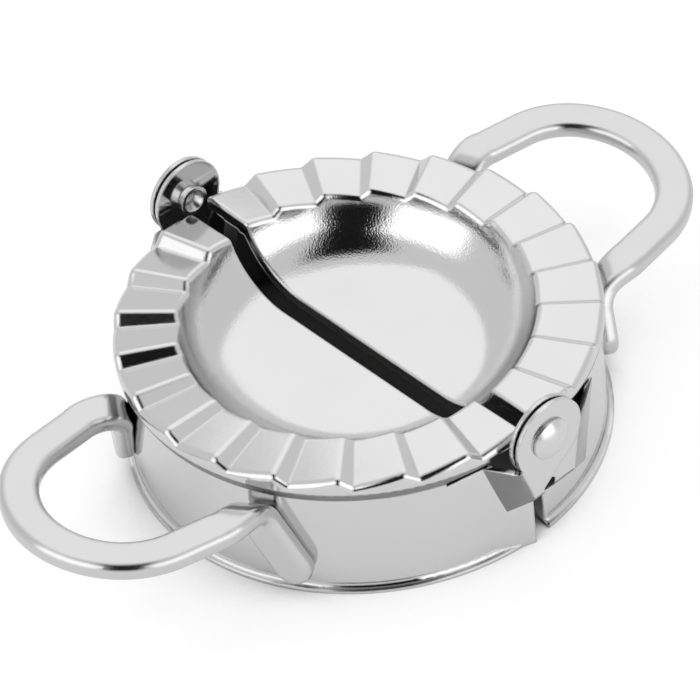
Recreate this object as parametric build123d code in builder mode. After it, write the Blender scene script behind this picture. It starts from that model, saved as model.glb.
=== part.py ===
from build123d import *
from collections import namedtuple
import math
import os

os.makedirs("parts", exist_ok=True)

# A hinged press mould for filled dough, lying open: two pressed sheet halves,
# each a dished bowl inside a ring of sloping pads and a skirt, joined by two
# riveted ear hinges, with a flat-bar handle welded to each skirt.
# +X runs along the handles, +Y along the hinge line, z = 0 is the hem.

# Overall
flange_radius = 45.3
pad_level = 26.8
sheet = 0.8

# Skirt and hem
flange_overhang = 0.8
skirt_taper = 0.4
skirt_drop = 4.8
flange_drop = 2.4
hem_bend = 0.8
hem_flat = 0.3
hem_middle_turn = 225.0

# Ring of sloping pads
pad_count = 12
pad_width = 11.8
step_turn = 3.25
step_drop = 1.6
step_inset = 6.3
crest_round = 1.3
rim_round = 1.25
brink_round = 1.2

# Bowl
bowl_depth = 10.6
bowl_wall_radius = 14.0

# Parting between the halves
parting_gap = 4.1
parting_round = 0.6
flange_lip = 2.2
skirt_lip = 3.0

# Hinge ears
hinge_rise = 0.2
ear_radius = 7.7
ear_stand = 3.2
ear_spacing = 0.7
ear_top_drop = 3.8
ear_neck_turn = 215.0
ear_far_turn = -14.0
neck_rise = 1.15
press_depth = 9.0

# Inner ear, pressed out of the skirt with a long easy slope
inner_foot_drop = 13.8
inner_far_low = 6.8
inner_far_high = 8.6
inner_fall = 0.22
inner_slope = 1.35
inner_foot_slope = 1.25
inner_neck = 4.6
inner_round = 1.6
inner_slit_reach = 19.3

# Outer ear, pressed out of the flat panel with a shorter joggle
outer_foot_drop = 12.2
outer_far_low = 4.6
outer_far_high = 7.6
outer_fall = 0.17
outer_slope = 0.45
outer_foot_slope = 0.9
outer_neck = 4.2
outer_round = 1.2
outer_slit_reach = 17.0

# Flat panel below the outer ear
panel_turn = 20.5
panel_bite = 0.02

# Slits that free the ears from the flange
slit_width = 0.9
slit_cover = 2.6
slit_depth = 8.5
hollow_rise = 2.2

# Small relief slot beside the inner ear's foot
relief_centre = 7.6
relief_drop = 4.4
relief_width = 0.8
relief_height = 2.6
relief_depth = 6.5

# Rivets and spacer washers
shank_radius = 2.2
running_clearance = 0.05
end_float = 0.06
head_overhang = 1.8
head_rim = 0.5
head_crown = 1.6
tail_flare = 0.9
tail_length = 1.6
tail_wall = 0.8
tail_bore_depth = 3.0
washer_width = 2.2
washer_float = 0.1

# Handles: a flat bar bent to a hoop in plan, its ends bent down the skirt
bar_width = 7.3
bar_thickness = 3.7
bar_round = 1.4
handle_stand = 29.8
tip_radius = 20.2
tip_turn = 38.0
elbow_radius = 16.2
elbow_turn = 82.0
arm_stand = 6.6
bend_pull = 5.4
bend_drop = 5.4
bend_sections = 4
tab_turn = 29.2
tab_lean = 26.0
tab_foot = 3.7
tab_bury = 0.35

# Lie of each handle: its level at the tip, its rise outwards and its roll
right_tip_level = 20.0
right_rise = 0.0
right_roll = 7.3
left_tip_level = 24.4
left_rise = 6.3
left_roll = 0.0

# Allowances of the cutting shapes and tolerances for choosing edges
cut_inward = 8.5
cut_beyond = 14.7
roof_rise = 0.05
step_overcut = 1.3
pad_overcut = 1.06
clear_below = 1.0
half_size = 60.0
pad_edge_shortest = 8.0
turn_tolerance = 0.3
length_tolerance = 0.01
brink_band = 1.2
edge_shares = (0, 0.3, 0.7, 1)

# Derived sizes
skirt_top_radius = flange_radius - flange_overhang
skirt_bottom_radius = skirt_top_radius + skirt_taper
hem_end = skirt_bottom_radius + hem_bend
hem_radius = hem_end + hem_flat
skirt_top = pad_level - skirt_drop
flange_start = pad_level - flange_drop
bowl_floor = pad_level - bowl_depth
bowl_radius = flange_radius - pad_width
bowl_floor_radius = bowl_radius - bowl_wall_radius
blank_top = bowl_floor + bowl_wall_radius
pad_pitch = 180.0 / pad_count
pad_slope = step_drop / 2 / (flange_radius - step_inset)
parting = parting_gap / 2
hinge_level = pad_level + hinge_rise
ear_top = pad_level - ear_top_drop
inner_ear_face = flange_radius + ear_stand
outer_ear_face = inner_ear_face + ear_spacing + sheet
panel_distance = skirt_top_radius - panel_bite
slit_roof = pad_level - slit_cover
slit_end = skirt_top_radius - slit_depth
cut_inner = bowl_radius - cut_inward
cut_outer = flange_radius + cut_beyond
handle_reach = skirt_bottom_radius + handle_stand
front = -1
rear = 1

# Ears: the face in y, then the pressing's outline and slopes, the neck and the slit
Ear = namedtuple(
    "Ear", "face foot far_low far_high fall slope foot_slope neck rounding slit_reach"
)
inner_ear = Ear(
    inner_ear_face,
    hinge_level - inner_foot_drop,
    inner_far_low,
    inner_far_high,
    inner_fall,
    inner_slope,
    inner_foot_slope,
    inner_neck,
    inner_round,
    inner_slit_reach,
)
outer_ear = Ear(
    outer_ear_face,
    hinge_level - outer_foot_drop,
    outer_far_low,
    outer_far_high,
    outer_fall,
    outer_slope,
    outer_foot_slope,
    outer_neck,
    outer_round,
    outer_slit_reach,
)


def section_plane():
    """Upright plane through the hinge line: local x is the radius, local y is z."""
    return Plane(origin=(0, 0, 0), x_dir=(0, -1, 0), z_dir=(-1, 0, 0))


def elevation_plane(y):
    """Upright plane across the hinge line at y: local x is X, local y is z."""
    return Plane(origin=(0, y, 0), x_dir=(1, 0, 0), z_dir=(0, -1, 0))


def polar(radius, turn):
    """Point in plan at a radius and a turn in degrees from +X."""
    angle = math.radians(turn)
    return Vector(radius * math.cos(angle), radius * math.sin(angle))


def arc_point(centre_x, centre_y, radius, turn):
    """Point of a profile arc at a turn in degrees."""
    angle = math.radians(turn)
    return (centre_x + radius * math.cos(angle), centre_y + radius * math.sin(angle))


def body_profile(inset, bowl_inset, base, cap):
    """Half section of the solid under the sheet's face, moved in by an inset."""
    bend = hem_bend + inset
    bend_level = sheet + hem_bend
    bowl_arc = bowl_wall_radius + bowl_inset
    cap_turn = math.degrees(math.asin((cap - blank_top) / bowl_arc))
    with BuildSketch(section_plane()) as profile:
        with BuildLine():
            if inset == 0:
                Polyline((0, base), (hem_radius, base), (hem_radius, sheet), (hem_end, sheet))
                middle = arc_point(hem_end, bend_level, bend, hem_middle_turn)
                ThreePointArc((hem_end, sheet), middle, (hem_end - bend, bend_level))
            else:
                Polyline((0, base), (hem_end, base), (hem_end, 0), (hem_end - bend, bend_level))
            side = Line((hem_end - bend, bend_level), (skirt_top_radius - inset, skirt_top))
            if cap > flange_start:
                start = (flange_radius - inset, flange_start)
                if inset == 0:
                    Spline(side @ 1, start, tangents=[side % 1, (0, 1)])
                else:
                    Line(side @ 1, start)
                top = (flange_radius - inset, cap)
                Line(start, top)
            else:
                top = (skirt_top_radius - inset, cap)
                Line(side @ 1, top)
            brink = arc_point(bowl_floor_radius, blank_top, bowl_arc, cap_turn)
            Line(top, brink)
            middle = arc_point(bowl_floor_radius, blank_top, bowl_arc, (cap_turn - 90) / 2)
            foot = (bowl_floor_radius, bowl_floor - bowl_inset)
            ThreePointArc(brink, middle, foot)
            Polyline(foot, (0, bowl_floor - bowl_inset), (0, base))
        make_face()
    return profile.sketch


def pad_ray(turn, slope, distance, level):
    """Local point where a pad edge crosses the upright plane at a distance."""
    angle = math.radians(turn)
    return (distance * math.tan(angle), level + slope * distance / math.cos(angle))


def beyond(start, end, share):
    """Point on the line from start through end, a share past the end."""
    return (
        start[0] + (end[0] - start[0]) * share,
        start[1] + (end[1] - start[1]) * share,
    )


def pad_outline(distance, level):
    """Upright outline of the space above one pad and the step beside it."""
    half_pitch = pad_pitch / 2
    low_turn = step_turn / 2 - half_pitch
    high_turn = half_pitch - step_turn / 2
    crest = pad_ray(-half_pitch - step_turn / 2, pad_slope, distance, level)
    valley = pad_ray(low_turn, -pad_slope, distance, level)
    next_crest = pad_ray(high_turn, pad_slope, distance, level)
    left = beyond(valley, crest, step_overcut)
    right = beyond(valley, next_crest, pad_overcut)
    roof = blank_top + distance * roof_rise
    return [left, valley, right, (right[0], roof), (left[0], roof)]


def pad_space(turn, level):
    """Flat-sided space above one pad; all its sides meet on the bowl's axis."""
    loops = []
    for distance in (cut_inner, cut_outer):
        centre = polar(distance, turn)
        plane = Plane(origin=centre, x_dir=polar(1, turn + 90), z_dir=polar(1, turn))
        outline = pad_outline(distance, level)
        loops.append([plane.from_local_coords(Vector(x, z, 0)) for x, z in outline])
    near, far = loops
    faces = [Face(Wire.make_polygon(near)), Face(Wire.make_polygon(far))]
    for index, point in enumerate(near):
        after = (index + 1) % len(near)
        side = [point, near[after], far[after], far[index]]
        faces.append(Face(Wire.make_polygon(side)))
    return Solid(Shell(faces))


def pressed_body(inset, wall):
    """Solid under the sheet's face, moved in by an inset, with its pads cut."""
    base = 0 if inset == 0 else -clear_below
    turns = [pad_pitch * (number + 0.5) for number in range(-pad_count // 2, pad_count // 2)]
    spaces = [pad_space(turn, pad_level - inset) for turn in turns]
    with BuildPart() as body:
        add(body_profile(inset, inset, base, blank_top))
        revolve(axis=Axis.Z, revolution_arc=180)
        with BuildSketch(Plane.XY.offset(base - clear_below)):
            with Locations((wall - half_size, 0)):
                Rectangle(2 * half_size, 2 * half_size)
        extrude(amount=2 * half_size, mode=Mode.SUBTRACT)
        for space in spaces:
            add(space, mode=Mode.SUBTRACT)
    return body.part


def edge_turn(edge):
    """Turn of an edge's middle from +X, in degrees."""
    middle = edge.center()
    return math.degrees(math.atan2(middle.Y, middle.X))


def on_pitch(edge, offset):
    """Whether an edge lies a given offset in degrees from a multiple of the pitch."""
    steps = (edge_turn(edge) - offset) / pad_pitch
    return abs(steps - round(steps)) * pad_pitch < turn_tolerance


def crest_edges(part):
    """Straight edges between the pads' high sides and the steps."""
    lines = part.edges().filter_by(GeomType.LINE)
    last_turn = 90 - pad_pitch / 2
    across = [edge for edge in lines if edge.length > pad_edge_shortest]
    inside = [edge for edge in across if abs(edge_turn(edge)) < last_turn]
    return [edge for edge in inside if on_pitch(edge, -step_turn / 2)]


def points_along(edge):
    """Points spread along an edge."""
    return [edge @ share for share in edge_shares]


def plan_radius(point):
    """Distance of a point from the bowl's axis."""
    return math.hypot(point.X, point.Y)


def is_rim(edge):
    """Whether an edge runs round the top of the rolled rim."""
    points = points_along(edge)
    on_wall = all(abs(plan_radius(point) - flange_radius) < length_tolerance for point in points)
    return on_wall and all(abs(point.Z - pad_level) < step_drop for point in points)


def is_brink(edge):
    """Whether an edge runs round the top of the bowl."""
    points = points_along(edge)
    near = all(abs(plan_radius(point) - bowl_radius) < brink_band for point in points)
    high = all(abs(point.Z - pad_level) < step_drop for point in points)
    return near and high and (edge @ 0.5).X > parting + length_tolerance


def parting_edges(part):
    """Edges of the parting face above the hem bend."""
    bend_level = sheet + hem_bend
    chosen = []
    for edge in part.edges():
        points = points_along(edge)
        on_face = all(abs(point.X - parting) < length_tolerance for point in points)
        if on_face and all(point.Z > bend_level - length_tolerance for point in points):
            chosen.append(edge)
    return chosen


def panel(distance, wall, base):
    """Flat panel that leaves the round skirt, up to the roof of the slits."""
    angle = math.radians(panel_turn)
    touch = (distance * math.sin(angle), distance * math.cos(angle))
    end = (distance - wall * math.sin(angle)) / math.cos(angle)
    with BuildPart() as block:
        with BuildSketch(Plane.XY.offset(base)):
            Polygon((wall, slit_end), (touch[0], slit_end), touch, (wall, end), align=None)
        extrude(amount=slit_roof - base)
    return block.part


def is_press_edge(edge, face, near):
    """Whether an edge bounds the raised face of an ear's pressing."""
    points = points_along(edge)
    raised = all(abs(point.Y - face) < length_tolerance for point in points)
    middle = edge @ 0.5
    return raised and middle.X > near + length_tolerance and middle.Z < ear_top - length_tolerance


def ear_pressing(side, near, ear, inset):
    """Outside of an ear's pressing, or its hollow when the inset is the sheet."""
    face = ear.face - inset
    foot = ear.foot + inset * (math.sqrt(1 + ear.foot_slope**2) - ear.foot_slope)
    narrow = inset * (math.sqrt(1 + ear.slope**2) - ear.slope)
    low = ear.far_low - narrow
    high = ear.far_high - narrow
    top = ear_top + hollow_rise * inset / sheet
    shift = ear.slope * press_depth
    drop = ear.foot_slope * press_depth
    roof = top - ear.fall * shift
    with BuildPart() as press:
        with BuildSketch(elevation_plane(side * face)):
            Polygon((near, foot), (low, foot), (high, top), (near, top), align=None)
        with BuildSketch(elevation_plane(side * (face - press_depth))):
            Polygon(
                (near, foot - drop),
                (low + shift, foot - drop),
                (high + shift, roof),
                (near, roof),
                align=None,
            )
        loft(ruled=True)
        if inset == 0:
            raised = [edge for edge in press.edges() if is_press_edge(edge, side * face, near)]
            fillet(raised, ear.rounding)
    return press.part


def ear_plate(side, ear):
    """Flat ear: a disc round the hinge with a tongue down to the pressing."""
    foot = ear.foot + ear.rounding
    with BuildPart() as plate:
        with BuildSketch(elevation_plane(side * ear.face)):
            with Locations((0, hinge_level)):
                Circle(ear_radius)
            Polygon(
                (parting, foot),
                (ear.far_low - ear.rounding, foot),
                (ear.far_high - ear.rounding, ear_top),
                arc_point(0, hinge_level, ear_radius, ear_far_turn),
                (0, hinge_level),
                arc_point(0, hinge_level, ear_radius, ear_neck_turn),
                (-ear.neck, foot + ear.neck * neck_rise),
                align=None,
            )
        extrude(amount=side * sheet)
    return plate.part


def slit(side, ear):
    """Cut that frees an ear from the flange, open towards the hinge line."""
    end_level = ear_top - ear.fall * (ear.slit_reach - ear.far_high)
    with BuildPart() as cut:
        with BuildSketch(elevation_plane(side * (ear.face - sheet))):
            Polygon(
                (-parting, ear_top),
                (ear.far_high, ear_top),
                (ear.slit_reach, end_level),
                (ear.slit_reach, end_level + slit_width),
                (ear.far_high, slit_roof),
                (-parting, slit_roof),
                align=None,
            )
        extrude(amount=side * (ear.face - sheet - slit_end))
    return cut.part


def pin_holes(radius):
    """Pin holes through an ear at either end of the hinge line."""
    with BuildPart() as holes:
        for side in (front, rear):
            with BuildSketch(elevation_plane(side * (inner_ear_face - 2 * sheet))):
                with Locations((0, hinge_level)):
                    Circle(radius)
            extrude(amount=-side * (outer_ear_face - inner_ear_face + 3 * sheet))
    return holes.part


# Outside of a half: the filled form under the sheet's outer face
body_outside = pressed_body(0, parting)
panel_outside = panel(panel_distance, parting, 0)
inner_slit = slit(front, inner_ear)
outer_slit = slit(rear, outer_ear)
inner_press = ear_pressing(front, parting, inner_ear, 0)
outer_press = ear_pressing(rear, parting, outer_ear, 0)

with BuildPart() as freed_panel:
    add(panel_outside)
    add(outer_slit, mode=Mode.SUBTRACT)

with BuildPart() as outside:
    add(body_outside)
    fillet(crest_edges(outside.part), crest_round)
    fillet([edge for edge in outside.edges() if is_rim(edge)], rim_round)
    fillet([edge for edge in outside.edges() if is_brink(edge)], brink_round)
    fillet(parting_edges(outside.part), parting_round)
    add(freed_panel.part)
    add(inner_press)
    add(outer_press)

# Inside of a half: the space that the sheet encloses, with its openings
body_inside = pressed_body(sheet, parting + sheet)
panel_inside = panel(panel_distance - sheet, parting + sheet, -clear_below)
inner_hollow = ear_pressing(front, -parting, inner_ear, sheet)
outer_hollow = ear_pressing(rear, -parting, outer_ear, sheet)
inner_plate = ear_plate(front, inner_ear)
outer_plate = ear_plate(rear, outer_ear)

with BuildPart() as inside:
    add(body_inside)
    add(panel_inside)

with BuildPart() as lip_opening:
    add(body_profile(skirt_lip, flange_lip, -clear_below, pad_level - flange_lip - sheet))
    extrude(amount=parting + 2 * sheet, dir=(1, 0, 0))
    mirror(about=Plane.XZ)

# Sheet half, without its pin holes
with BuildPart() as half_blank:
    add(outside.part)
    add(inside.part, mode=Mode.SUBTRACT)
    add(lip_opening.part, mode=Mode.SUBTRACT)
    add(inner_hollow, mode=Mode.SUBTRACT)
    add(outer_hollow, mode=Mode.SUBTRACT)
    add(inner_slit, mode=Mode.SUBTRACT)
    add(outer_slit, mode=Mode.SUBTRACT)
    with BuildSketch(elevation_plane(front * inner_ear_face)):
        with Locations((relief_centre, inner_ear.foot - relief_drop)):
            Rectangle(relief_width, relief_height)
    extrude(amount=front * relief_depth, mode=Mode.SUBTRACT)
    add(inner_plate)
    add(outer_plate)

shank_holes = pin_holes(shank_radius)
running_holes = pin_holes(shank_radius + running_clearance)

with BuildPart() as right_shell:
    add(half_blank.part)
    add(shank_holes, mode=Mode.SUBTRACT)

with BuildPart() as left_shell:
    add(half_blank.part.rotate(Axis.Z, 180))
    add(running_holes, mode=Mode.SUBTRACT)


def rivet_outline(head_gap, tail_gap):
    """Half outline of a rivet: distance along the hinge line, then radius."""
    head_radius = shank_radius + head_overhang
    tail_radius = shank_radius + tail_flare
    rim_end = outer_ear_face + end_float + head_rim
    tail_face = inner_ear_face - sheet - tail_gap
    tail_end = inner_ear_face - sheet - end_float - tail_length
    bore = shank_radius - tail_wall
    collar = (shank_radius + tail_radius) / 2
    with BuildLine() as outline:
        TangentArc((rim_end + head_crown, 0), (rim_end, head_radius), tangent=(0, 1))
        Polyline(
            (rim_end, head_radius),
            (outer_ear_face + head_gap, head_radius),
            (outer_ear_face + head_gap, shank_radius),
            (tail_face, shank_radius),
            (tail_face, collar),
            (tail_end, tail_radius),
            (tail_end, tail_radius - tail_wall),
            (tail_end + tail_length, bore),
            (tail_end + tail_bore_depth, bore),
            (tail_end + tail_bore_depth, 0),
            (rim_end + head_crown, 0),
        )
    return outline.line


def rivet_plane(side):
    """Plane through the hinge line: local x runs out along it, on one side."""
    return Plane(origin=(0, 0, hinge_level), x_dir=(0, side, 0), z_dir=(side, 0, 0))


def rivet(side, head_gap, tail_gap):
    """Dome-headed rivet whose hollow tail is flared over inside the mould."""
    outline = rivet_outline(head_gap, tail_gap)
    with BuildPart() as pin:
        with BuildSketch(rivet_plane(side)):
            with BuildLine():
                add(outline)
            make_face()
        revolve(axis=Axis((0, 0, hinge_level), (0, 1, 0)), revolution_arc=360)
    return pin.part


def washer(side, near_face):
    """Spacer ring between the two ears of one hinge."""
    with BuildPart() as ring:
        with BuildSketch(elevation_plane(side * near_face)):
            with Locations((0, hinge_level)):
                Circle(shank_radius + washer_width)
                Circle(shank_radius, mode=Mode.SUBTRACT)
        extrude(amount=-side * (ear_spacing - washer_float))
    return ring.part


front_pin = rivet(front, end_float, 0)
rear_pin = rivet(rear, 0, end_float)
front_ring = washer(front, inner_ear_face)
rear_ring = washer(rear, inner_ear_face + washer_float)

with BuildPart() as front_rivet:
    add(front_pin)

with BuildPart() as rear_rivet:
    add(rear_pin)

with BuildPart() as front_washer:
    add(front_ring)

with BuildPart() as rear_washer:
    add(rear_ring)


def bar_plane(centre, turn, side=rear):
    """Upright plane of the bar's section at a point in plan, facing along the hoop."""
    return Plane(origin=centre, x_dir=polar(1, side * turn), z_dir=polar(1, side * (turn + 90)))


def bar_section(plane):
    """Section of the flat bar with rounded edges."""
    with BuildSketch(plane) as section:
        RectangleRounded(bar_width, bar_thickness, bar_round)
    return section.sketch


# Hoop of the handle: tip arc, elbow arc and straight arm, laid flat at z = 0
tip_centre = Vector(handle_reach - tip_radius, 0, 0)
elbow_start = tip_centre + polar(tip_radius, tip_turn)
elbow_centre = tip_centre + polar(tip_radius - elbow_radius, tip_turn)
elbow_end = elbow_centre + polar(elbow_radius, elbow_turn)
arm_way = polar(1, elbow_turn + 90)
arm_length = (skirt_bottom_radius + arm_stand - elbow_end.X) / arm_way.X
arm_end = elbow_end + arm_way * arm_length

with BuildPart() as hoop:
    add(bar_section(bar_plane(Vector(handle_reach, 0, 0), 0)))
    revolve(axis=Axis(tip_centre, (0, 0, 1)), revolution_arc=tip_turn)
    add(bar_section(bar_plane(elbow_start, tip_turn)))
    revolve(axis=Axis(elbow_centre, (0, 0, 1)), revolution_arc=elbow_turn - tip_turn)
    add(bar_section(bar_plane(elbow_end, elbow_turn)))
    extrude(amount=arm_length, dir=arm_way)
    mirror(about=Plane.XZ)


def handle_lie(tip_level, rise, roll):
    """Lie of a hoop: lifted to its level, raised outwards and rolled."""
    climb = math.radians(rise)
    shift = handle_reach * (1 - math.cos(climb))
    lift = tip_level - handle_reach * math.sin(climb)
    return Location((shift, 0, lift), (roll, -rise, 0))


def tab_plane(side, top):
    """Plane across a tab's top: local x across the bar, local z down the tab."""
    lean = math.radians(tab_lean)
    out = polar(1, side * tab_turn)
    down = polar(1, side * (tab_turn + 90)) * math.sin(lean) - Vector(0, 0, math.cos(lean))
    reach = skirt_bottom_radius - tab_bury + bar_thickness / 2
    middle = out * reach + Vector(0, 0, (top + tab_foot) / 2)
    start = middle - down * ((top - tab_foot) / 2 / math.cos(lean))
    return Plane(origin=start, x_dir=down.cross(out) * -side, z_dir=down)


def bend_plane(start, end, share):
    """Plane of the bar's section part of the way round the bend to the tab."""
    rest = 1 - share
    arm_pull = start.origin + start.z_dir * bend_pull
    tab_pull = end.origin - end.z_dir * bend_pull
    points = (start.origin, arm_pull, tab_pull, end.origin)
    weights = (rest**3, 3 * rest**2 * share, 3 * rest * share**2, share**3)
    slopes = (-(rest**2), rest**2 - 2 * rest * share, 2 * rest * share - share**2, share**2)
    centre = Vector(0, 0, 0)
    along = Vector(0, 0, 0)
    for point, weight, slope in zip(points, weights, slopes):
        centre = centre + point * weight
        along = along + point * slope
    along = along.normalized()
    across = start.x_dir * rest + end.x_dir * share
    across = across - along * across.dot(along)
    return Plane(origin=centre, x_dir=across, z_dir=along)


def bend(start, end):
    """Bend of the bar from the end of an arm down to the top of a tab."""
    with BuildPart() as piece:
        for number in range(bend_sections):
            add(bar_section(bend_plane(start, end, number / (bend_sections - 1))))
        loft()
    return piece.part


def tab(top_plane, length):
    """Tab with a round end, from the bend down the skirt."""
    straight = length - bar_width / 2
    with BuildPart() as piece:
        with BuildSketch():
            with Locations((0, straight / 2)):
                Rectangle(bar_width, straight)
            with Locations((0, straight)):
                Circle(bar_width / 2)
        extrude(amount=bar_thickness / 2, both=True)
        fillet(piece.edges().filter_by(Axis.Y) + piece.edges().filter_by(GeomType.CIRCLE), bar_round)
    out = top_plane.x_dir.cross(top_plane.z_dir)
    flat = Plane(origin=top_plane.origin, x_dir=top_plane.x_dir, z_dir=out)
    return piece.part.moved(flat.location)


def handle_end(side, lie):
    """Bend and tab at one end of a hoop that has its lie."""
    flat_end = bar_plane(Vector(arm_end.X, side * arm_end.Y, 0), elbow_turn, side)
    start = Plane(lie * flat_end.location)
    top = start.origin.Z - bend_drop
    end = tab_plane(side, top)
    length = (top - tab_foot) / math.cos(math.radians(tab_lean))
    return bend(start, end), tab(end, length)


def handle(lie):
    """Handle with its hoop at its lie and its tabs on the skirt."""
    front_bend, front_tab = handle_end(front, lie)
    rear_bend, rear_tab = handle_end(rear, lie)
    with BuildPart() as bar:
        add(hoop.part.moved(lie))
        add(front_bend)
        add(front_tab)
        add(rear_bend)
        add(rear_tab)
        add(outside.part, mode=Mode.SUBTRACT)
    return bar.part


right_bar = handle(handle_lie(right_tip_level, right_rise, right_roll))
left_bar = handle(handle_lie(left_tip_level, left_rise, left_roll))

with BuildPart() as right_handle:
    add(right_bar)

with BuildPart() as left_handle:
    add(left_bar.rotate(Axis.Z, 180))

right_shell.part.label = "right_shell"
left_shell.part.label = "left_shell"
right_handle.part.label = "right_handle"
left_handle.part.label = "left_handle"
front_rivet.part.label = "front_rivet"
rear_rivet.part.label = "rear_rivet"
front_washer.part.label = "front_washer"
rear_washer.part.label = "rear_washer"

export_step(right_shell.part, "parts/right_shell.step")
export_step(left_shell.part, "parts/left_shell.step")
export_step(right_handle.part, "parts/right_handle.step")
export_step(left_handle.part, "parts/left_handle.step")
export_step(front_rivet.part, "parts/front_rivet.step")
export_step(rear_rivet.part, "parts/rear_rivet.step")
export_step(front_washer.part, "parts/front_washer.step")
export_step(rear_washer.part, "parts/rear_washer.step")
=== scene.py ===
import bpy
from mathutils import Matrix, Vector


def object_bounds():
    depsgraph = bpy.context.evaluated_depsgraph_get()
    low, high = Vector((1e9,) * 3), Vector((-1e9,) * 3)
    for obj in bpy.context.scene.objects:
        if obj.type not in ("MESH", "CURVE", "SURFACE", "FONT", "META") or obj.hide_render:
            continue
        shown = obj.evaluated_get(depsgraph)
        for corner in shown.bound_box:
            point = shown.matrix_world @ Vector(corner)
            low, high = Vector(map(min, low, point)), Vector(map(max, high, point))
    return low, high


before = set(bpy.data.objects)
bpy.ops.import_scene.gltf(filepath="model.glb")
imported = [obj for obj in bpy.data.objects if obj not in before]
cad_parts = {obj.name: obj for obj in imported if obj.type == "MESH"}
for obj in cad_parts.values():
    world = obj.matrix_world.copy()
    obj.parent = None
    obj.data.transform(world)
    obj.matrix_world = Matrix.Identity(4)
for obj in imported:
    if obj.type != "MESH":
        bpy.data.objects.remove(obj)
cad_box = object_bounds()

# Camera, in metres, fitted to the photograph's rims, handles and hinge
CAMERA_PLACE = (-0.2884, -0.3699, 0.4477)
CAMERA_RIGHT = (0.7343, -0.6727, -0.0911)
CAMERA_UP = (0.5080, 0.4555, 0.7311)
CAMERA_BACK = (-0.4503, -0.5831, 0.6762)
LENS = 176.9
SENSOR = 36.0

# Floor: pale paper, mixed with white where nothing within reach stands over it, and
# painted shade where something does
FLOOR_SIZE = 6.0
FLOOR_COLOUR = (0.80, 0.80, 0.80, 1.0)
FLOOR_PAINTED_SHADE = (0.30, 0.30, 0.30, 1.0)
FLOOR_ROUGHNESS = 0.9
FLOOR_WHITE = 1.25
FLOOR_SHARE = 0.62
MIRRORED_SHARE = 0.70
SHADE_REACH = 0.10
SHADE_EDGE = (0.15, 0.65)

# Tent round the object: its light, and one dark opening, whose place and edges
# are cosines along fixed ways
TENT_COLOUR = (1.0, 1.0, 1.0, 1.0)
TENT_LEVEL = 0.80
OPENING_LEVEL = 0.01
OPENING_WAY = (-0.4503, -0.5831, 0.6762)
OPENING_SIDE = (0.7343, -0.6727, -0.0911)
OPENING_SHIFT = 0.045
OPENING_SIDE_EDGE = (0.24, 0.34)
OPENING_END_EDGE = (0.70, 0.80)

# Soft lamps: place and width in metres, power in watts
AIM = (0.0, 0.0, 0.02)
LAMPS = {
    "top": ((0.50, 0.42, 0.88), 1.05, 1.35),
    "left": ((-0.78, 0.05, 0.47), 0.82, 1.70),
    "right": ((0.08, -0.86, 0.28), 0.82, 1.70),
}

# Steel: colour, roughness, and the radius that softens edges in shading
SHEET_COLOUR = (0.685, 0.685, 0.685, 1.0)
BAR_COLOUR = (0.63, 0.63, 0.63, 1.0)
RIVET_COLOUR = (0.70, 0.70, 0.70, 1.0)
WASHER_COLOUR = (0.58, 0.58, 0.58, 1.0)
SHEET_ROUGHNESS = 0.10
BAR_ROUGHNESS = 0.15
RIVET_ROUGHNESS = 0.24
WASHER_ROUGHNESS = 0.30
SHEET_SOFTNESS = 0.0006
BAR_SOFTNESS = 0.0010
RIVET_SOFTNESS = 0.0003

# Polish: cloudy patches, slow waves and fine lines, stretched along each piece
EVEN = (1.0, 1.0, 1.0)
SHEET_LINES = (1.0, 1.0, 6.0)
BAR_LINES = (1.0, 6.0, 6.0)
RIVET_LINES = (1.5, 0.5, 1.5)
WASHER_LINES = (4.0, 1.0, 4.0)
CLOUD_SCALE = 45.0
CLOUD_DETAIL = 3.0
CLOUD_SHADE = 0.95
WAVE_SCALE = 60.0
WAVE_DETAIL = 1.0
WAVE_HEIGHT = 0.00003
LINE_SCALE = 700.0
LINE_DETAIL = 2.0
LINE_HEIGHT = 0.000002
POLISH_SPAN = (0.6, 1.4)
POLISH_SPREAD = (0.75, 1.35)

# Inside of a shell, rougher and darkened by painted shade: how far a face looks down
# or in, and the radii in metres between which that counts
INSIDE_PAINTED_SHADE = (0.30, 0.30, 0.30, 1.0)
INSIDE_ROUGHNESS = 0.38
DOWNWARD_TILT = (-0.12, -0.02)
INWARD_TURN = (-0.010, -0.004)
SKIRT_START = (0.0390, 0.0400)
SKIRT_END = (0.0465, 0.0470)

# Coarse grain where the bowl's wall was stretched, with its radii in metres
GRAIN_SCALE = 2600.0
GRAIN_DETAIL = 2.0
GRAIN_HEIGHT = 0.000034
GRAIN_FADE_OUT = (0.030, 0.036)
GRAIN_FADE_IN = (0.016, 0.026)
GRAIN_ON_FLOOR = 0.12


def new_material(name):
    """A material with its nodes, its links and its shader."""
    material = bpy.data.materials.new(name)
    material.use_nodes = True
    nodes = material.node_tree.nodes
    return material, nodes, material.node_tree.links, nodes["Principled BSDF"]


def noise(nodes, links, place, stretch, scale, detail):
    """Noise laid out in the object's own space, stretched along its axes."""
    mapping = nodes.new("ShaderNodeMapping")
    mapping.inputs["Scale"].default_value = stretch
    links.new(place.outputs["Object"], mapping.inputs["Vector"])
    texture = nodes.new("ShaderNodeTexNoise")
    texture.inputs["Scale"].default_value = scale
    texture.inputs["Detail"].default_value = detail
    links.new(mapping.outputs["Vector"], texture.inputs["Vector"])
    return texture.outputs["Fac"]


def remap(nodes, links, source, span, low, high, kind="LINEAR"):
    """Spreads a span of a value over another range."""
    ramp = nodes.new("ShaderNodeMapRange")
    ramp.interpolation_type = kind
    ramp.inputs["From Min"].default_value = span[0]
    ramp.inputs["From Max"].default_value = span[1]
    ramp.inputs["To Min"].default_value = low
    ramp.inputs["To Max"].default_value = high
    links.new(source, ramp.inputs["Value"])
    return ramp.outputs["Result"]


def ease(nodes, links, source, span, low, high):
    """Spreads a span of a value over another range, easing in and out."""
    return remap(nodes, links, source, span, low, high, "SMOOTHSTEP")


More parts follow.
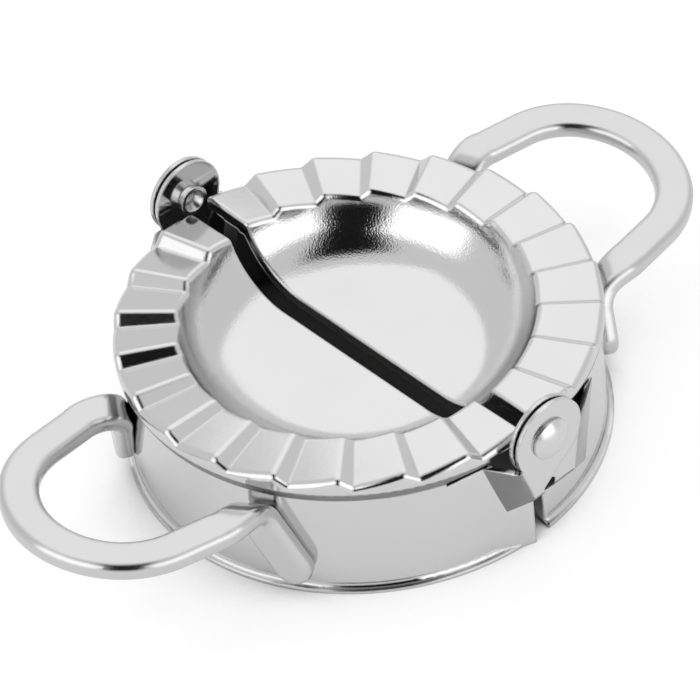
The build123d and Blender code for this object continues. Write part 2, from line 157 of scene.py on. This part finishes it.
def calculate(nodes, links, operation, first, second=0.0):
    """Result of an operation on two values, each a socket or a number."""
    node = nodes.new("ShaderNodeMath")
    node.operation = operation
    for socket, value in zip(node.inputs, (first, second)):
        if isinstance(value, (int, float)):
            socket.default_value = value
        else:
            links.new(value, socket)
    return node.outputs["Value"]


def blend_colours(nodes, links, factor, first, second):
    """Colour between two, each a socket or a constant."""
    mix = nodes.new("ShaderNodeMix")
    mix.data_type = "RGBA"
    links.new(factor, mix.inputs["Factor"])
    for name, colour in (("A", first), ("B", second)):
        if isinstance(colour, tuple):
            mix.inputs[name].default_value = colour
        else:
            links.new(colour, mix.inputs[name])
    return mix.outputs["Result"]


def blend_shaders(nodes, links, factor, first, second):
    """Shader between two."""
    mix = nodes.new("ShaderNodeMixShader")
    links.new(factor, mix.inputs["Fac"])
    links.new(first, mix.inputs[1])
    links.new(second, mix.inputs[2])
    return mix.outputs["Shader"]


def bump(nodes, links, height, distance, before):
    """Bump of a height map, on top of an earlier normal."""
    node = nodes.new("ShaderNodeBump")
    node.inputs["Distance"].default_value = distance
    node.inputs["Strength"].default_value = 1.0
    links.new(height, node.inputs["Height"])
    links.new(before, node.inputs["Normal"])
    return node.outputs["Normal"]


def steel(name, colour, roughness, stretch, softness):
    """Polished steel with a cloudy polish, fine drawn lines and slight waves."""
    material, nodes, links, shader = new_material(name)
    shader.inputs["Metallic"].default_value = 1.0
    place = nodes.new("ShaderNodeTexCoord")
    cloud = noise(nodes, links, place, EVEN, CLOUD_SCALE, CLOUD_DETAIL)
    lines = noise(nodes, links, place, stretch, LINE_SCALE, LINE_DETAIL)
    waves = noise(nodes, links, place, EVEN, WAVE_SCALE, WAVE_DETAIL)
    darker = tuple(CLOUD_SHADE * part for part in colour[:3]) + (1.0,)
    shade = blend_colours(nodes, links, cloud, colour, darker)
    links.new(shade, shader.inputs["Base Color"])
    polish = calculate(nodes, links, "ADD", cloud, lines)
    low, high = (share * roughness for share in POLISH_SPREAD)
    rough = remap(nodes, links, polish, POLISH_SPAN, low, high)
    links.new(rough, shader.inputs["Roughness"])
    soft = nodes.new("ShaderNodeBevel")
    soft.inputs["Radius"].default_value = softness
    normal = bump(nodes, links, waves, WAVE_HEIGHT, soft.outputs["Normal"])
    normal = bump(nodes, links, lines, LINE_HEIGHT, normal)
    links.new(normal, shader.inputs["Normal"])
    return material


def split(nodes, links, vector):
    """A vector's height, and the vector laid flat."""
    parts = nodes.new("ShaderNodeSeparateXYZ")
    links.new(vector, parts.inputs["Vector"])
    flat = nodes.new("ShaderNodeCombineXYZ")
    links.new(parts.outputs["X"], flat.inputs["X"])
    links.new(parts.outputs["Y"], flat.inputs["Y"])
    return parts.outputs["Z"], flat.outputs["Vector"]


def measure(nodes, links, operation, *vectors):
    """Number that a vector operation gives."""
    node = nodes.new("ShaderNodeVectorMath")
    node.operation = operation
    for socket, vector in zip(node.inputs, vectors):
        links.new(vector, socket)
    return node.outputs["Value"]


def inside_share(nodes, links, normal, flat, radius):
    """1 where a shell faces down, or where its skirt faces in at the axis."""
    tilt, flat_normal = split(nodes, links, normal)
    turn = measure(nodes, links, "DOT_PRODUCT", flat, flat_normal)
    downward = remap(nodes, links, tilt, DOWNWARD_TILT, 1.0, 0.0)
    inward = remap(nodes, links, turn, INWARD_TURN, 1.0, 0.0)
    behind = remap(nodes, links, radius, SKIRT_START, 0.0, 1.0)
    within = remap(nodes, links, radius, SKIRT_END, 1.0, 0.0)
    skirt = calculate(nodes, links, "MULTIPLY", inward, behind)
    skirt = calculate(nodes, links, "MULTIPLY", skirt, within)
    return calculate(nodes, links, "MAXIMUM", skirt, downward)


def finish_and_shade_shell(material):
    """Adds the grain of the drawn bowl, and a rougher inside of the shell whose colour is
    darkened by painted shade.
    """
    nodes = material.node_tree.nodes
    links = material.node_tree.links
    shader = nodes["Principled BSDF"]
    place = nodes.new("ShaderNodeTexCoord")
    flat = split(nodes, links, place.outputs["Object"])[1]
    radius = measure(nodes, links, "LENGTH", flat)
    inside = inside_share(nodes, links, place.outputs["Normal"], flat, radius)
    colour = shader.inputs["Base Color"].links[0].from_socket
    # Painted shade: faces that look down or in take the dark inside colour
    painted_shade_colour = blend_colours(nodes, links, inside, colour, INSIDE_PAINTED_SHADE)
    links.new(painted_shade_colour, shader.inputs["Base Color"])
    rough = shader.inputs["Roughness"].links[0].from_socket
    matt = calculate(nodes, links, "MULTIPLY", inside, INSIDE_ROUGHNESS)
    rough = calculate(nodes, links, "ADD", rough, matt)
    links.new(rough, shader.inputs["Roughness"])
    bowl = ease(nodes, links, radius, GRAIN_FADE_OUT, 1.0, 0.0)
    wall = ease(nodes, links, radius, GRAIN_FADE_IN, GRAIN_ON_FLOOR, 1.0)
    grain = noise(nodes, links, place, EVEN, GRAIN_SCALE, GRAIN_DETAIL)
    share = calculate(nodes, links, "MULTIPLY", bowl, wall)
    height = calculate(nodes, links, "MULTIPLY", grain, share)
    normal = shader.inputs["Normal"].links[0].from_socket
    normal = bump(nodes, links, height, GRAIN_HEIGHT, normal)
    links.new(normal, shader.inputs["Normal"])


def paint(node, material):
    """Gives a CAD node's object a material in every slot."""
    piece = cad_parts[node]
    if not piece.material_slots:
        piece.data.materials.append(material)
    for slot in piece.material_slots:
        slot.material = material


def paint_metal():
    """Finishes every CAD node, with painted shade inside the shells."""
    sheet = steel(
        "pressed_sheet", SHEET_COLOUR, SHEET_ROUGHNESS, SHEET_LINES, SHEET_SOFTNESS
    )
    finish_and_shade_shell(sheet)
    bar = steel("handle_bar", BAR_COLOUR, BAR_ROUGHNESS, BAR_LINES, BAR_SOFTNESS)
    rivet = steel("rivet", RIVET_COLOUR, RIVET_ROUGHNESS, RIVET_LINES, RIVET_SOFTNESS)
    washer = steel(
        "washer", WASHER_COLOUR, WASHER_ROUGHNESS, WASHER_LINES, RIVET_SOFTNESS
    )
    for side in ("right", "left"):
        paint(side + "_shell", sheet)
        paint(side + "_handle", bar)
    for end in ("front", "rear"):
        paint(end + "_rivet", rivet)
        paint(end + "_washer", washer)


def background_share(nodes, links):
    """1 for the camera's rays, and less for reflected and refracted ones."""
    ray = nodes.new("ShaderNodeLightPath").outputs
    bent = calculate(
        nodes, links, "MAXIMUM", ray["Is Glossy Ray"], ray["Is Transmission Ray"]
    )
    bent = calculate(nodes, links, "MULTIPLY", bent, MIRRORED_SHARE)
    return calculate(nodes, links, "MAXIMUM", bent, ray["Is Camera Ray"])


def floor_material():
    """Paper that is white where nothing stands over it, with painted shade where something
    does, and clear from below.
    """
    material, nodes, links, shader = new_material("floor")
    shader.inputs["Roughness"].default_value = FLOOR_ROUGHNESS
    shader.inputs["Specular IOR Level"].default_value = 0.0
    openness = nodes.new("ShaderNodeAmbientOcclusion")
    openness.inputs["Distance"].default_value = SHADE_REACH
    # Painted shade on top of the real shadow: near and under the object the paper turns to
    # the shade colour and its white fades
    clear = ease(nodes, links, openness.outputs["AO"], SHADE_EDGE, 0.0, 1.0)
    paper_and_painted_shade = blend_colours(nodes, links, clear, FLOOR_PAINTED_SHADE, FLOOR_COLOUR)
    links.new(paper_and_painted_shade, shader.inputs["Base Color"])
    share = calculate(nodes, links, "MULTIPLY", clear, FLOOR_SHARE)
    seen = background_share(nodes, links)
    share = calculate(nodes, links, "MULTIPLY", share, seen)
    white = nodes.new("ShaderNodeEmission")
    white.inputs["Strength"].default_value = FLOOR_WHITE
    white = white.outputs["Emission"]
    above = blend_shaders(nodes, links, share, shader.outputs["BSDF"], white)
    below = nodes.new("ShaderNodeBsdfTransparent").outputs["BSDF"]
    back = nodes.new("ShaderNodeNewGeometry").outputs["Backfacing"]
    surface = blend_shaders(nodes, links, back, above, below)
    links.new(surface, nodes["Material Output"].inputs["Surface"])
    return material


def add_floor():
    """Level floor at the foot of the object."""
    half = FLOOR_SIZE / 2
    low = cad_box[0][2]
    mesh = bpy.data.meshes.new("floor")
    corners = [(-half, -half), (half, -half), (half, half), (-half, half)]
    mesh.from_pydata([(x, y, low) for x, y in corners], [], [(0, 1, 2, 3)])
    mesh.materials.append(floor_material())
    floor = bpy.data.objects.new("floor", mesh)
    bpy.context.scene.collection.objects.link(floor)


def facing(nodes, links, place, way):
    """How far a ray's direction points along a way, from -1 to 1."""
    dot = nodes.new("ShaderNodeVectorMath")
    dot.operation = "DOT_PRODUCT"
    dot.inputs[1].default_value = way
    links.new(place.outputs["Generated"], dot.inputs[0])
    return dot.outputs["Value"]


def light_tent():
    """Even pale surroundings with one dark opening, white to the camera."""
    world = bpy.data.worlds.new("tent")
    bpy.context.scene.world = world
    world.use_nodes = True
    nodes = world.node_tree.nodes
    links = world.node_tree.links
    place = nodes.new("ShaderNodeTexCoord")
    side = facing(nodes, links, place, OPENING_SIDE)
    side = calculate(nodes, links, "ADD", side, OPENING_SHIFT)
    side = calculate(nodes, links, "ABSOLUTE", side)
    between = ease(nodes, links, side, OPENING_SIDE_EDGE, 1.0, 0.0)
    ahead = facing(nodes, links, place, OPENING_WAY)
    ahead = ease(nodes, links, ahead, OPENING_END_EDGE, 0.0, 1.0)
    opening = calculate(nodes, links, "MULTIPLY", between, ahead)
    level = remap(nodes, links, opening, (0.0, 1.0), TENT_LEVEL, OPENING_LEVEL)
    eye = nodes.new("ShaderNodeLightPath").outputs["Is Camera Ray"]
    level = calculate(nodes, links, "MAXIMUM", level, eye)
    ground = nodes["Background"]
    ground.inputs["Color"].default_value = TENT_COLOUR
    links.new(level, ground.inputs["Strength"])


def add_lamp(name, place, width, power):
    """A square soft lamp that faces the object."""
    data = bpy.data.lights.new(name, "AREA")
    data.shape = "SQUARE"
    data.size = width
    data.energy = power
    lamp = bpy.data.objects.new(name, data)
    turn = (Vector(AIM) - Vector(place)).to_track_quat("-Z", "Y")
    lamp.matrix_world = Matrix.Translation(place) @ turn.to_matrix().to_4x4()
    bpy.context.scene.collection.objects.link(lamp)


def add_camera():
    """The photograph's camera, a long lens above the left front."""
    data = bpy.data.cameras.new("camera")
    data.lens = LENS
    data.sensor_width = SENSOR
    camera = bpy.data.objects.new("camera", data)
    turn = Matrix((CAMERA_RIGHT, CAMERA_UP, CAMERA_BACK)).transposed().to_4x4()
    camera.matrix_world = Matrix.Translation(CAMERA_PLACE) @ turn
    bpy.context.scene.collection.objects.link(camera)
    bpy.context.scene.camera = camera


paint_metal()
add_floor()
light_tent()
for name, (place, width, power) in LAMPS.items():
    add_lamp(name, place, width, power)
add_camera()

bpy.context.scene.view_settings.view_transform = "Standard"
